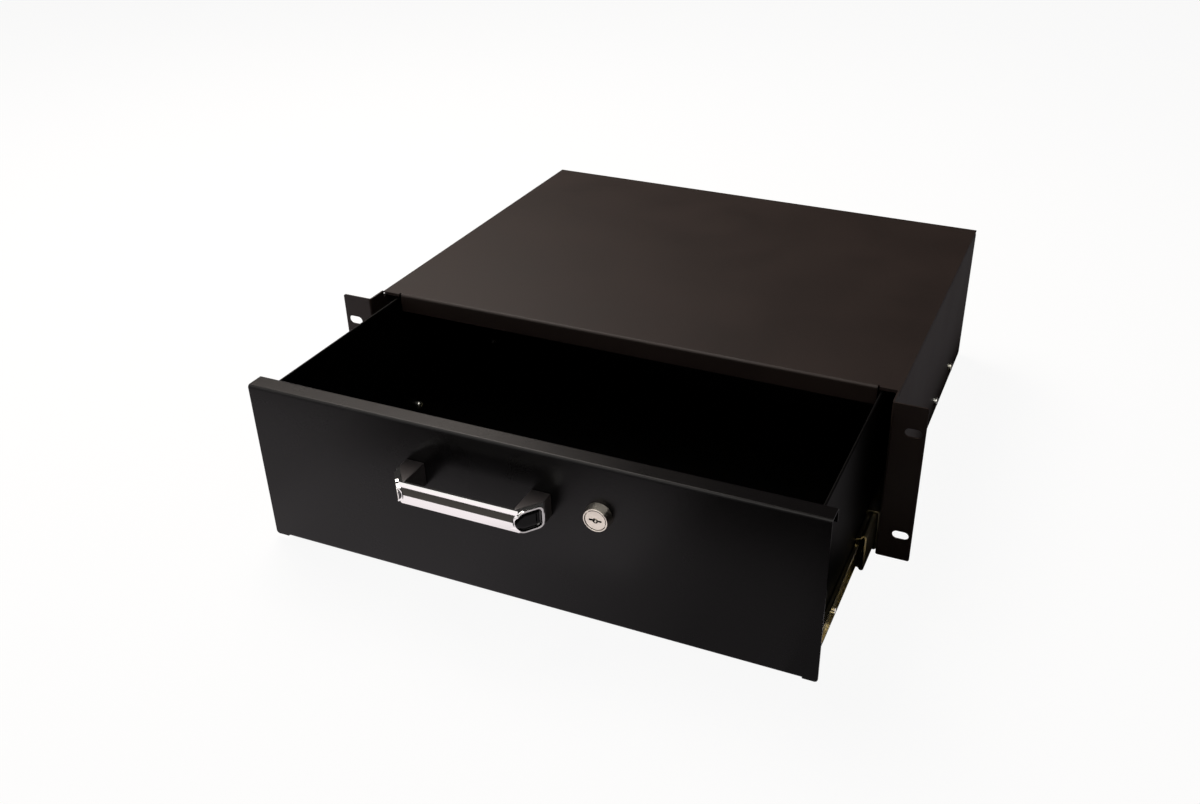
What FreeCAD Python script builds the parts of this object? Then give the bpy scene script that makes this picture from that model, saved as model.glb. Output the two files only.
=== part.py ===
"""Lockable sliding rack drawer, 3 rack units high, for 19-inch equipment racks.

Frame: X to the right, Y to the back, Z up, in millimetres. The origin is the centre of the
four rack slots, on the front face of the ears. The drawer stands partly open: every moving
piece is drawn as it lies with the drawer shut and is then moved forward by its share of
rest_opening.
"""

import FreeCAD
import Part
import math
import os

Vector = FreeCAD.Vector

# ---- Driving dimensions ---------------------------------------------------------------
# Rack interface
ear_width = 482.6
ear_height = 132.5
slot_inset = 8.75
slot_spacing_z = 88.9
slot_length = 12.5
slot_width = 7.0
ear_corner_radius = 1.5

# Case
ear_reach = 24.8
case_depth = 350.0
sheet = 1.2
bend_radius = 1.0
cover_setback = 20.0
cover_step = 1.2
lip_depth = 15.0
lip_inset = 16.5
top_flange_width = 15.0
floor_flange_width = 25.0
rear_flange_width = 12.0
relief_width = 1.5
relief_depth = 3.0
seat_gap = 0.1
floor_inset = 16.5

# Telescopic slide, one each side
slide_height = 35.0
slide_thickness = 10.8
slide_setback = 3.0
slide_rear_space = 5.0
middle_setback = 48.0
middle_shortfall = 54.0
inner_setback = 6.0
inner_shortfall = 8.0
outer_wall = 1.2
middle_wall = 1.0
inner_wall = 1.0
middle_bend_radius = 0.5
inner_bend_radius = 0.4
ball_radius = 1.6
race_clearance = 0.04
race_wrap = 0.8
slide_lip_inset = 0.4
race_lip = 0.1
step_angle = 60.0
inner_race_angle = 20.0
inner_race_tip = 0.32
cage_thickness = 0.4
cage_gap = 0.3
inner_cage_gap = 0.25
cage_bend_radius = 0.3
cage_reach = 0.8
pocket_clearance = 0.15
outer_cage_length = 150.0
inner_cage_length = 130.0
outer_cage_lead = 4.0
inner_cage_lead = 9.0
outer_cage_balls = 5
inner_cage_balls = 4
cage_end_margin = 8.0
travel_shortfall = 42.0
rest_opening = 152.5

# Drawer
drawer_sheet = 1.0
drawer_wall_clearance = 5.0
drawer_wall_top = ear_height - drawer_wall_clearance
drawer_floor_height = 4.0
drawer_rear_space = 14.8
drawer_rear_height = 112.0
hem_depth = 8.0
hem_gap = 0.2
front_tab_width = 12.0
tray_front_gap = 1.1

# Front panel
panel_inset = 2.8
panel_bottom = 2.8
panel_height_clearance = 3.0
panel_height = ear_height - panel_height_clearance
panel_top_flange = 15.5
panel_return = 10.5
panel_bottom_flange = 12.0
panel_corner_radius = 2.5

# Handle
handle_x = -30.6
handle_z = 93.0
grip_projection = 28.0
grip_height = 17.2
grip_thickness = 3.4
grip_bulge = 1.8
grip_half_front = 45.6
grip_half_back = 57.0
grip_end_projection = 13.1
leg_width = 14.4
leg_height = 18.0
leg_inset = 1.5
leg_edge_radius = 0.6
window_margin = 1.4
inlay_clearance = 0.15
inlay_recess = 0.8

# Cam lock
lock_x = 59.7
lock_z = 94.0
lock_base_radius = 10.0
lock_face_radius = 8.7
lock_head_length = 6.4
lock_barrel_radius = 8.0
lock_barrel_flats = 14.0
lock_skirt = 0.8
lock_shoulder = 0.3
lock_rim_radius = 0.6
lock_plug_radius = 6.4
plug_face_radius = 7.3
plug_face_thickness = 1.6
lock_plug_inset = 0.2
lock_plug_edge = 0.4
lock_running_gap = 0.05
lock_nut_across_flats = 22.0
lock_nut_thickness = 4.0
keyway_length = 9.2
keyway_width = 1.5
keyway_depth = 5.0
cam_thickness = 2.0
cam_width = 14.0
cam_reach = 29.5
cam_corner_radius = 2.5
cam_screw_length = 7.0
cam_screw_depth = 8.0
cam_axial_gap = 0.1
cam_square = 7.0
cam_lip_gap = 0.6

# Screws
screw_radius = 2.0
screw_head_radius = 3.9
screw_head_height = 2.4
screw_gap = 0.05
washer_radius = 4.5
washer_thickness = 0.8
cross_recess_width = 1.1
cross_recess_length = 4.4
cross_recess_depth = 1.3
screw_head_rounding = 1.4
case_screw_places = (40.0, 214.0, 284.0)
drawer_screw_places = (55.0, 185.0, 317.0)
drawer_screw_length = 6.0
handle_screw_length = 10.0

bumper_length = 4.0
cut_margin = 1.0

# ---- Sizes that follow ----------------------------------------------------------------
bottom = -ear_height / 2
top = ear_height / 2
slot_spacing_x = ear_width - 2 * slot_inset
case_width = ear_width - 2 * ear_reach
case_half = case_width / 2
lip_half_length = case_half - lip_inset
floor_half_width = case_half - floor_inset
outer_length = case_depth - slide_setback - slide_rear_space
middle_length = outer_length - middle_shortfall
inner_length = outer_length - inner_shortfall
drawer_travel = outer_length - travel_shortfall
drawer_depth = case_depth - sheet - drawer_rear_space
panel_width = case_width - 2 * panel_inset
case_inner = case_half - sheet
cover_top = top - cover_step
flange_top = cover_top - sheet
floor_sheet_top = bottom + 2 * sheet
drawer_half = case_inner - slide_thickness
slide_z = bottom + sheet + seat_gap + slide_height / 2
slide_rear = slide_setback + outer_length
drawer_front = sheet
drawer_rear = drawer_front + drawer_depth
drawer_bottom = bottom + drawer_floor_height
drawer_top = bottom + drawer_wall_top
panel_low = bottom + panel_bottom
panel_high = panel_low + panel_height
handle_height = bottom + handle_z
lock_height = bottom + lock_z
race_radius = ball_radius + race_clearance
plug_front = -lock_head_length + lock_plug_inset
cam_front = cover_setback + sheet + cam_lip_gap
barrel_end = cam_front - cam_axial_gap

# A round end drawn as two corner arcs keeps a hair of straight line between them.
ROUND_END = 0.999

# Shares of the drawer's travel
MIDDLE_SHARE = 0.5
OUTER_CAGE_SHARE = 0.25
INNER_CAGE_SHARE = 0.75

os.makedirs("parts", exist_ok=True)


# ---- Drawing aids ---------------------------------------------------------------------
def plan(height):
    """Places a flat point (x, y) at one height."""
    return lambda x, y: Vector(x, y, height)


def front_section(y):
    """Places a flat point (x, z) on a plane across the case."""
    return lambda x, z: Vector(x, y, z)


def side_section(x):
    """Places a flat point (y, z) on a plane along the case."""
    return lambda y, z: Vector(x, y, z)


def unit(start, end):
    length = math.hypot(end[0] - start[0], end[1] - start[1])
    return ((end[0] - start[0]) / length, (end[1] - start[1]) / length)


def rounded_edges(points, radii, place):
    """Lines through the points, with an arc of the given radius at each inner point."""
    edges = []
    start = points[0]
    for i in range(1, len(points) - 1):
        corner = points[i]
        before = unit(points[i - 1], corner)
        after = unit(corner, points[i + 1])
        turn = math.acos(max(-1.0, min(1.0, before[0] * after[0] + before[1] * after[1])))
        radius = radii[i - 1]
        tangent = radius * math.tan(turn / 2)
        first = (corner[0] - before[0] * tangent, corner[1] - before[1] * tangent)
        last = (corner[0] + after[0] * tangent, corner[1] + after[1] * tangent)
        if math.hypot(first[0] - start[0], first[1] - start[1]) > 1e-6:
            edges.append(Part.LineSegment(place(*start), place(*first)).toShape())
        if radius > 1e-6:
            inward = (after[0] - before[0], after[1] - before[1])
            size = math.hypot(*inward)
            depth = radius / math.cos(turn / 2) - radius
            middle = (corner[0] + inward[0] / size * depth, corner[1] + inward[1] / size * depth)
            arc = Part.Arc(place(*first), place(*middle), place(*last))
            edges.append(arc.toShape())
        start = last
    if math.hypot(points[-1][0] - start[0], points[-1][1] - start[1]) > 1e-6:
        edges.append(Part.LineSegment(place(*start), place(*points[-1])).toShape())
    return edges


def outline_face(points, radii, place):
    """A closed outline, with one corner radius for each point."""
    first_middle = ((points[0][0] + points[-1][0]) / 2, (points[0][1] + points[-1][1]) / 2)
    ring = [first_middle] + list(points) + [first_middle]
    return Part.Face(Part.Wire(rounded_edges(ring, radii, place)))


def left_normals(path):
    normals = []
    for start, end in zip(path[:-1], path[1:]):
        along = unit(start, end)
        normals.append((-along[1], along[0]))
    return normals


def offset_path(path, distance):
    """The path moved to its left by one distance, with its corners kept sharp."""
    normals = left_normals(path)
    first = normals[0]
    last = normals[-1]
    points = [(path[0][0] + first[0] * distance, path[0][1] + first[1] * distance)]
    for point, a, b in zip(path[1:-1], normals[:-1], normals[1:]):
        share = distance / (1 + a[0] * b[0] + a[1] * b[1])
        points.append((point[0] + (a[0] + b[0]) * share, point[1] + (a[1] + b[1]) * share))
    points.append((path[-1][0] + last[0] * distance, path[-1][1] + last[1] * distance))
    return points


def sheet_face(path, thickness, inner_radii, place):
    """The section of a bent sheet. The path is one face; the sheet lies to its left."""
    normals = left_normals(path)
    near = []
    far = []
    for a, b, radius in zip(normals[:-1], normals[1:], inner_radii):
        turns_left = a[0] * b[1] - a[1] * b[0] > 0
        near.append(radius + thickness if turns_left else radius)
        far.append(radius if turns_left else radius + thickness)
    offset = offset_path(path, thickness)
    edges = rounded_edges(path, near, place)
    edges.append(Part.LineSegment(place(*path[-1]), place(*offset[-1])).toShape())
    edges += rounded_edges(offset[::-1], far[::-1], place)
    edges.append(Part.LineSegment(place(*offset[0]), place(*path[0])).toShape())
    return Part.Face(Part.Wire(edges))


def bent_sheet(path, thickness, inner_radii, place, run):
    """A sheet bent along the path and run along one direction."""
    return sheet_face(path, thickness, inner_radii, place).extrude(Vector(*run))


def block(x0, x1, y0, y1, z0, z1):
    return Part.makeBox(x1 - x0, y1 - y0, z1 - z0, Vector(x0, y0, z0))


def rod(radius, start, direction, length):
    return Part.makeCylinder(radius, length, Vector(*start), Vector(*direction))


def mirrored(shape):
    """The same piece for the other side of the case."""
    return shape.mirror(Vector(0, 0, 0), Vector(1, 0, 0))


def moved(shape, forward):
    shape = shape.copy()
    shape.translate(Vector(0, -forward, 0))
    return shape


def export(name, shape):
    shape.exportStep("parts/%s.step" % name)
    print("%-26s solids %2d  volume %.1f" % (name, len(shape.Solids), shape.Volume))


def export_pair(name, right_shape, forward=0.0):
    export("right_" + name, moved(right_shape, forward))
    export("left_" + name, moved(mirrored(right_shape), forward))


# ---- Case -----------------------------------------------------------------------------
def rack_slot(x, z):
    """A horizontal slot with round ends, cut right through an ear."""
    straight = slot_length / 2 - slot_width / 2
    half = slot_width / 2
    slot = block(x - straight, x + straight, -sheet, 2 * sheet, z - half, z + half)
    for side in (-1, 1):
        slot = slot.fuse(rod(half, (x + side * straight, -sheet, z), (0, 1, 0), 3 * sheet))
    return slot


def right_side_panel():
    """Web, ear bent outwards at the front, and flanges bent inwards at top and bottom."""
    ear_path = [(case_inner, cover_setback - relief_width), (case_inner, 0), (ear_width / 2, 0)]
    ear = bent_sheet(ear_path, sheet, [bend_radius], plan(bottom), (0, 0, ear_height))
    web = block(case_inner, case_half, cover_setback - 2 * relief_width, case_depth,
                bottom + relief_depth, flange_top - relief_depth)
    flange_path = [(case_half - floor_flange_width, bottom), (case_half, bottom),
                   (case_half, flange_top), (case_half - top_flange_width, flange_top)]
    flanges = bent_sheet(flange_path, sheet, [bend_radius, bend_radius],
                         front_section(cover_setback),
                         (0, case_depth - sheet - seat_gap - cover_setback, 0))
    panel = ear.fuse([web, flanges]).removeSplitter()
    for side in (-1, 1):
        panel = panel.cut(rack_slot(slot_spacing_x / 2, side * slot_spacing_z / 2))
    for place in case_screw_places:
        start = (case_inner - sheet, place, slide_z)
        panel = panel.cut(rod(screw_radius + screw_gap, start, (1, 0, 0), 3 * sheet))
    corner_edges = [e for e in panel.Edges
                    if abs(e.CenterOfMass.x - ear_width / 2) < 1e-3
                    and abs(e.CenterOfMass.y - sheet / 2) < 1e-3]
    return panel.makeFillet(ear_corner_radius, corner_edges)


def top_cover():
    """Flat sheet on the side flanges; the front lip fits between them."""
    flat = block(-case_half, case_half, cover_setback + sheet + bend_radius, case_depth,
                 flange_top, cover_top)
    lip_path = [(case_depth, cover_top), (cover_setback, cover_top),
                (cover_setback, cover_top - lip_depth)]
    lip = bent_sheet(lip_path, sheet, [bend_radius], side_section(-lip_half_length),
                     (2 * lip_half_length, 0, 0))
    cover = flat.fuse(lip)
    for side in (-1, 1):
        ends = sorted((side * (lip_half_length + relief_width), side * case_half))
        corner = block(ends[0], ends[1], cover_setback, cover_setback + 3 * sheet,
                       flange_top, cover_top)
        cover = cover.fuse(corner)
    return cover.removeSplitter()


def floor_panel():
    """Flat sheet on the bottom flanges, stopping short of the rear panel's bend."""
    back = case_depth - sheet - bend_radius - seat_gap
    return block(-floor_half_width, floor_half_width, cover_setback, back,
                 bottom + sheet, floor_sheet_top)


def rear_panel():
    """Back sheet with flanges bent forward inside the case, cut away round the slides."""
    front = case_depth - rear_flange_width
    top_half = case_half - top_flange_width - 2 * seat_gap
    low_half = case_half - floor_flange_width - 2 * seat_gap
    side_low = slide_z + slide_height / 2 + relief_depth
    side_high = flange_top - sheet - relief_depth
    upper = flange_top - relief_depth
    lower = bottom + relief_depth
    inner = case_inner - relief_depth
    back = block(-case_inner, case_inner, case_depth - sheet, case_depth, bottom, flange_top)
    back = back.cut([block(-top_half, top_half, front, 2 * case_depth, upper, top),
                     block(-low_half, low_half, front, 2 * case_depth, bottom - sheet, lower),
                     block(inner, case_half, front, 2 * case_depth, side_low, side_high),
                     block(-case_half, -inner, front, 2 * case_depth, side_low, side_high)])
    top_path = [(case_depth, upper), (case_depth, flange_top), (front, flange_top)]
    top_flange = bent_sheet(top_path, sheet, [bend_radius], side_section(-top_half),
                            (2 * top_half, 0, 0))
    low_path = [(front, bottom), (case_depth, bottom), (case_depth, lower)]
    low_flange = bent_sheet(low_path, sheet, [bend_radius], side_section(-low_half),
                            (2 * low_half, 0, 0))
    side_path = [(case_inner, front), (case_inner, case_depth), (inner, case_depth)]
    side_flange = bent_sheet(side_path, sheet, [bend_radius], plan(side_low),
                             (0, 0, side_high - side_low))
    flanges = [top_flange, low_flange, side_flange, mirrored(side_flange)]
    return back.fuse(flanges).removeSplitter()


# ---- Telescopic slide -----------------------------------------------------------------
# Each profile is drawn for the right-hand slide: u runs inwards from the case's side panel,
# v upwards from the slide's centre line.
def slide_section(y):
    return lambda u, v: Vector(case_inner - u, y, slide_z + v)


def both_ways(half_path):
    """A profile that is the same above and below the slide's centre line."""
    return half_path + [(u, -v) for u, v in reversed(half_path)]


lip_u = slide_thickness - slide_lip_inset
outer_ball_u = lip_u - outer_wall - race_radius
outer_ball_v = slide_height / 2 - outer_wall - race_radius
cage_room = cage_thickness + 2 * cage_gap
middle_web_u = outer_wall + cage_room
middle_top_v = slide_height / 2 - outer_wall - cage_room
middle_race_v = outer_ball_v - race_radius
inner_ball_u = lip_u - middle_wall - race_radius
inner_ball_v = middle_race_v - middle_wall - race_radius


def outer_member():
    """C channel; its curled lips are the outer ball races."""
    lip_v = outer_ball_v - race_radius * race_wrap
    path = both_ways([(lip_u, lip_v), (lip_u, slide_height / 2),
                      (0, slide_height / 2)])
    radii = [race_radius, bend_radius, bend_radius, race_radius]
    member = bent_sheet(path, outer_wall, radii, slide_section(slide_setback),
                        (0, outer_length, 0))
    for place in case_screw_places:
        start = (case_inner + sheet, place, slide_z)
        member = member.cut(rod(screw_radius + screw_gap, start, (-1, 0, 0), 3 * sheet))
    return member


def middle_member():
    """C channel whose flanges run between the two rows of balls and curl round the inner row."""
    slope = math.radians(step_angle)
    foot_u = outer_ball_u - race_radius * math.tan(slope / 2)
    head_u = foot_u - (middle_top_v - middle_race_v) / math.tan(slope)
    path = both_ways([(lip_u, inner_ball_v - race_lip), (lip_u, middle_race_v),
                      (foot_u, middle_race_v), (head_u, middle_top_v),
                      (middle_web_u, middle_top_v)])
    half_radii = [race_radius, race_radius, middle_bend_radius, bend_radius]
    return bent_sheet(path, middle_wall, half_radii + half_radii[::-1],
                      slide_section(middle_setback), (0, middle_length, 0))


def inner_member():
    """Shallow channel on the drawer's side; its flanges carry the inner balls."""
    slope = math.radians(inner_race_angle)
    race_v = inner_ball_v - race_radius
    foot_u = inner_ball_u - race_radius * math.tan(slope / 2)
    tip = (foot_u - inner_race_tip * math.cos(slope), race_v + inner_race_tip * math.sin(slope))
    half_path = [tip, (foot_u, race_v), (slide_thickness, race_v)]
    path = [(u, -v) for u, v in half_path] + half_path[::-1]
    half_radii = [race_radius, inner_bend_radius]
    member = bent_sheet(path, inner_wall, half_radii + half_radii[::-1],
                        slide_section(inner_setback), (0, inner_length, 0))
    for place in drawer_screw_places:
        start = (drawer_half - sheet, place, slide_z)
        member = member.cut(rod(screw_radius + screw_gap, start, (1, 0, 0), 3 * sheet))
    return member


def ball_places(front, length, count):
    first = front + cage_end_margin
    pitch = (length - 2 * cage_end_margin) / (count - 1)
    return [first + i * pitch for i in range(count)]


def balls(ball_u, ball_v, places):
    """Two rows of steel balls, above and below the slide's centre line."""
    rows = []
    for y in places:
        for v in (-ball_v, ball_v):
            rows.append(Part.makeSphere(ball_radius, slide_section(y)(ball_u, v)))
    return Part.makeCompound(rows)


def pocketed(cage, ball_u, ball_v, places):
    """Cuts a round pocket for each ball out of a cage."""
    pockets = [Part.makeSphere(ball_radius + pocket_clearance, slide_section(y)(ball_u, v))
               for y in places for v in (-ball_v, ball_v)]
    return cage.cut(pockets)


def outer_cage(front, places):
    """Thin strip round the middle member, holding the outer balls apart."""
    web_u = outer_wall + cage_gap
    high_v = slide_height / 2 - outer_wall - cage_gap
    half = cage_thickness / 2
    bend_u = outer_ball_u - (high_v - half - outer_ball_v) + half * math.tan(math.pi / 8)
    reach = cage_reach + half
    tip = (outer_ball_u + reach, outer_ball_v - reach + half * math.sqrt(2))
    path = both_ways([tip, (bend_u, high_v), (web_u, high_v)])
    radii = [cage_bend_radius, ball_radius, ball_radius, cage_bend_radius]
    cage = bent_sheet(path, cage_thickness, radii, slide_section(front),
                      (0, outer_cage_length, 0))
    return pocketed(cage, outer_ball_u, outer_ball_v, places)


def inner_cage(front, places):
    """Thin strip inside the middle member, holding the inner balls apart."""
    web_u = middle_web_u + middle_wall + inner_cage_gap
    diagonal = cage_thickness / math.sqrt(2)
    tip = (inner_ball_u + cage_reach - diagonal / 2, inner_ball_v + cage_reach + diagonal / 2)
    bend_v = inner_ball_v - (inner_ball_u - web_u) + diagonal
    path = both_ways([tip, (web_u, bend_v)])
    cage = bent_sheet(path, cage_thickness, [cage_bend_radius, cage_bend_radius],
                      slide_section(front), (0, inner_cage_length, 0))
    return pocketed(cage, inner_ball_u, inner_ball_v, places)


def closing_bumper():
    """Rubber block across the back of the outer member, met by the shut slide."""
    place = slide_section(slide_rear - bumper_length)
    half = middle_top_v - cage_gap
    points = [(outer_wall, -half), (outer_ball_u, -half), (outer_ball_u, half),
              (outer_wall, half)]
    face = outline_face(points, [bend_radius] * 4, place)
    return face.extrude(Vector(0, bumper_length, 0))


# ---- Screws ---------------------------------------------------------------------------
def pan_head_screw(seat, direction, length):
    """Cross-recess pan-head screw: the head stands on the seat, the shank runs back from it."""
    head = Part.makeCylinder(screw_head_radius, screw_head_height)
    rim = [e for e in head.Edges if abs(e.CenterOfMass.z - screw_head_height) < 1e-3
           and e.Curve.TypeId == "Part::GeomCircle"]
    head = head.makeFillet(screw_head_rounding, rim)
    for width, span in ((cross_recess_width, cross_recess_length),
                        (cross_recess_length, cross_recess_width)):
        arm = block(-width / 2, width / 2, -span / 2, span / 2,
                    screw_head_height - cross_recess_depth, 2 * screw_head_height)
        head = head.cut(arm)
    screw = head.fuse(rod(screw_radius, (0, 0, -length), (0, 0, 1), length))
    turn = FreeCAD.Rotation(Vector(0, 0, 1), Vector(*direction))
    screw.Placement = FreeCAD.Placement(Vector(*seat), turn)
    return screw


def washer(seat, direction):
    """Flat washer standing on the seat."""
    ring = rod(washer_radius, seat, direction, washer_thickness)
    return ring.cut(rod(screw_radius + screw_gap, seat, direction, washer_thickness))


def case_screws():
    """Screws and washers that hold both outer members to the side panels."""
    screws = []
    washers = []
    length = washer_thickness + sheet + outer_wall
    for side in (-1, 1):
        for place in case_screw_places:
            washers.append(washer((side * case_half, place, slide_z), (side, 0, 0)))
            seat = (side * (case_half + washer_thickness), place, slide_z)
            screws.append(pan_head_screw(seat, (side, 0, 0), length))
    return Part.makeCompound(screws), Part.makeCompound(washers)


def drawer_screws():
    """Screws from inside the drawer into both inner members."""
    screws = []
    for side in (-1, 1):
        for place in drawer_screw_places:
            seat = (side * (drawer_half - drawer_sheet), place, slide_z)
            screws.append(pan_head_screw(seat, (-side, 0, 0), drawer_screw_length))
    return Part.makeCompound(screws)


# ---- Drawer ---------------------------------------------------------------------------
def drawer_tray():
    """Floor and side walls from one sheet, with hemmed top edges and front tabs.

    The walls are notched at the front for the return of the front panel's top flange.
    """
    hem_x = drawer_half - 2 * drawer_sheet - hem_gap
    hem_end = drawer_top - hem_depth
    fold = hem_gap / 2
    half = [(hem_x + drawer_sheet, hem_end), (hem_x + drawer_sheet, drawer_top - drawer_sheet),
            (drawer_half - drawer_sheet, drawer_top - drawer_sheet),
            (drawer_half - drawer_sheet, drawer_bottom + drawer_sheet)]
    path = half + [(-x, z) for x, z in reversed(half)]
    radii = [fold, fold, bend_radius, bend_radius, fold, fold]
    tray = bent_sheet(path, drawer_sheet, radii, front_section(drawer_front + tray_front_gap),
                      (0, drawer_depth - tray_front_gap, 0))
    tab_low = drawer_bottom + drawer_sheet + relief_depth
    tab_high = hem_end - relief_width
    tab_path = [(drawer_half - front_tab_width, drawer_front), (drawer_half, drawer_front),
                (drawer_half, drawer_front + relief_depth)]
    tab = bent_sheet(tab_path, drawer_sheet, [bend_radius], plan(tab_low),
                     (0, 0, tab_high - tab_low))
    for side in (-1, 1):
        ends = sorted((side * (drawer_half - relief_depth), side * (drawer_half + cut_margin)))
        notch = block(ends[0], ends[1], 0, drawer_front + relief_depth, tab_low - relief_width,
                      tab_high + relief_width)
        tray = tray.cut(notch)
        ends = sorted((side * (hem_x - cut_margin), side * (drawer_half + cut_margin)))
        notch = block(ends[0], ends[1], 0, panel_top_flange + relief_width,
                      panel_high - panel_return - relief_width, top)
        tray = tray.cut(notch)
        tray = tray.fuse(tab if side > 0 else mirrored(tab))
        for place in drawer_screw_places:
            start = (side * (drawer_half - 2 * drawer_sheet), place, slide_z)
            tray = tray.cut(rod(screw_radius + screw_gap, start, (side, 0, 0), 4 * drawer_sheet))
    return tray.removeSplitter()


def drawer_rear_wall():
    """Back sheet between the side walls, lower than they are, with flanges bent forward."""
    half = drawer_half - drawer_sheet
    low = drawer_bottom + drawer_sheet
    high = bottom + drawer_rear_height
    path = [(half, drawer_rear - front_tab_width), (half, drawer_rear), (-half, drawer_rear),
            (-half, drawer_rear - front_tab_width)]
    wall = bent_sheet(path, drawer_sheet, [bend_radius, bend_radius], plan(low),
                      (0, 0, high - low))
    inner = half - relief_depth
    corner = block(inner, drawer_half, 0, 2 * drawer_rear, low - cut_margin,
                   low + relief_depth)
    return wall.cut([corner, mirrored(corner)])


def drawer_front_panel():
    """Flat front with return flanges, pierced for the lock and the handle screws."""
    low_half = drawer_half - relief_width
    above = panel_low + relief_depth
    path = [(panel_top_flange, panel_high - panel_return), (panel_top_flange, panel_high),
            (0, panel_high), (0, panel_low)]
    panel = bent_sheet(path, sheet, [bend_radius, bend_radius],
                       side_section(-panel_width / 2), (panel_width, 0, 0))
    corner_edges = [e for e in panel.Edges
                    if abs(e.Length - sheet) < 1e-3 and abs(e.CenterOfMass.z - panel_low) < 1e-3]
    panel = panel.makeFillet(panel_corner_radius, corner_edges)
    panel = panel.cut(block(-low_half, low_half, -sheet, 2 * sheet, panel_low - sheet, above))
    low_path = [(0, above), (0, panel_low), (panel_bottom_flange, panel_low)]
    low_flange = bent_sheet(low_path, sheet, [bend_radius], side_section(-low_half),
                            (2 * low_half, 0, 0))
    panel = panel.fuse(low_flange).removeSplitter()
    panel = panel.cut(barrel_shape(lock_barrel_radius + screw_gap,
                                   lock_barrel_flats + 2 * screw_gap, -sheet, 2 * sheet))
    for leg_x in leg_centres():
        start = (leg_x, -sheet, handle_height)
        panel = panel.cut(rod(screw_radius + screw_gap, start, (0, 1, 0), 3 * sheet))
    return panel


# ---- Handle ---------------------------------------------------------------------------
def leg_centres():
    reach = grip_half_back - leg_inset - leg_width / 2
    return (handle_x - reach, handle_x + reach)


def grip_path():
    """Front of the chromed band, in plan, from the left-hand sloping end to the right one."""
    return [(handle_x - grip_half_back, -grip_end_projection),
            (handle_x - grip_half_front, -grip_projection),
            (handle_x + grip_half_front, -grip_projection),
            (handle_x + grip_half_back, -grip_end_projection)]


def end_frame():
    """Middle, long direction and inward direction of the right-hand sloping end."""
    front, back = grip_path()[2:]
    along = unit(front, back)
    middle = Vector((front[0] + back[0]) / 2, (front[1] + back[1]) / 2, handle_height)
    length = math.hypot(back[0] - front[0], back[1] - front[1])
    return middle, Vector(along[0], along[1], 0), Vector(-along[1], along[0], 0), length


def end_oval(margin, depth, thickness):
    """Oval prism in the right-hand sloping end, from one depth behind its face."""
    middle, along, inward, length = end_frame()
    long_half = length / 2 - margin
    short_half = grip_height / 2 - margin
    corners = [(-long_half, -short_half), (long_half, -short_half),
               (long_half, short_half), (-long_half, short_half)]
    radius = min(long_half, short_half) * ROUND_END
    origin = middle + inward * depth
    face = outline_face(corners, [radius] * 4, lambda a, b: origin + along * a + Vector(0, 0, b))
    return face.extrude(inward * thickness)


def across_handle(shape):
    """The same shape at the other end of the handle."""
    return shape.mirror(Vector(handle_x, 0, 0), Vector(1, 0, 0))


def handle_grip():
    """Chromed band with a bulging front, bent back at both ends, each with an oval window."""
    start = grip_path()[0]
    along = unit(*grip_path()[:2])
    inward = Vector(-along[1], along[0], 0)
    half = grip_height / 2

    def place(depth, height):
        return Vector(start[0], start[1], handle_height + height) + inward * depth

    front = Part.Arc(place(grip_bulge, half), place(0, 0), place(grip_bulge, -half)).toShape()
    back = Part.makePolygon([place(grip_bulge, -half), place(grip_thickness, -half),
                             place(grip_thickness, half), place(grip_bulge, half)])
    spine = Part.makePolygon([plan(handle_height)(*point) for point in grip_path()])
    sweep = Part.BRepOffsetAPI.MakePipeShell(spine)
    sweep.setTransitionMode(1)
    sweep.add(Part.Wire([front] + back.Edges))
    sweep.build()
    sweep.makeSolid()
    window = end_oval(window_margin, -cut_margin, grip_thickness + 2 * cut_margin)
    return sweep.shape().cut([window, across_handle(window)])


def right_handle_leg():
    """Plastic leg from the panel to the band, with an oval boss that fills the window."""
    outer_x = handle_x + grip_half_back - leg_inset
    inner_x = outer_x - leg_width
    low = handle_height - leg_height / 2
    bend, tip = offset_path(grip_path(), grip_thickness)[2:]
    slope = (bend[1] - tip[1]) / (bend[0] - tip[0])
    outer_y = bend[1] + slope * (outer_x - bend[0])
    points = [(inner_x, 0), (outer_x, 0), (outer_x, outer_y), bend, (inner_x, bend[1])]
    radii = [0, 0, leg_edge_radius, 0, 0]
    leg = outline_face(points, radii, plan(low)).extrude(Vector(0, 0, leg_height))
    boss = end_oval(window_margin + inlay_clearance, inlay_recess,
                    grip_thickness + cut_margin - inlay_recess)
    hole = rod(screw_radius + screw_gap, (inner_x + leg_width / 2, 0, handle_height),
               (0, -1, 0), handle_screw_length)
    return leg.fuse(boss).removeSplitter().cut(hole)


def handle_fasteners():
    """A screw and a washer behind the panel for each leg."""
    screws = []
    washers = []
    for leg_x in leg_centres():
        washers.append(washer((leg_x, sheet, handle_height), (0, 1, 0)))
        seat = (leg_x, sheet + washer_thickness, handle_height)
        screws.append(pan_head_screw(seat, (0, 1, 0), handle_screw_length))
    return Part.makeCompound(screws), Part.makeCompound(washers)


# ---- Cam lock -------------------------------------------------------------------------
def lock_rod(radius, y0, y1):
    return rod(radius, (lock_x, y0, lock_height), (0, 1, 0), y1 - y0)


def barrel_shape(radius, flats, y0, y1):
    """Round barrel with two flats, left and right."""
    flat_block = block(lock_x - flats / 2, lock_x + flats / 2, y0, y1,
                       lock_height - 2 * radius, lock_height + 2 * radius)
    return lock_rod(radius, y0, y1).common(flat_block)


def edge_ring(shape, y):
    """The round edges of a turned piece at one depth."""
    return [e for e in shape.Edges if abs(e.CenterOfMass.y - y) < 1e-3
            and e.Curve.TypeId == "Part::GeomCircle"]


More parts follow.
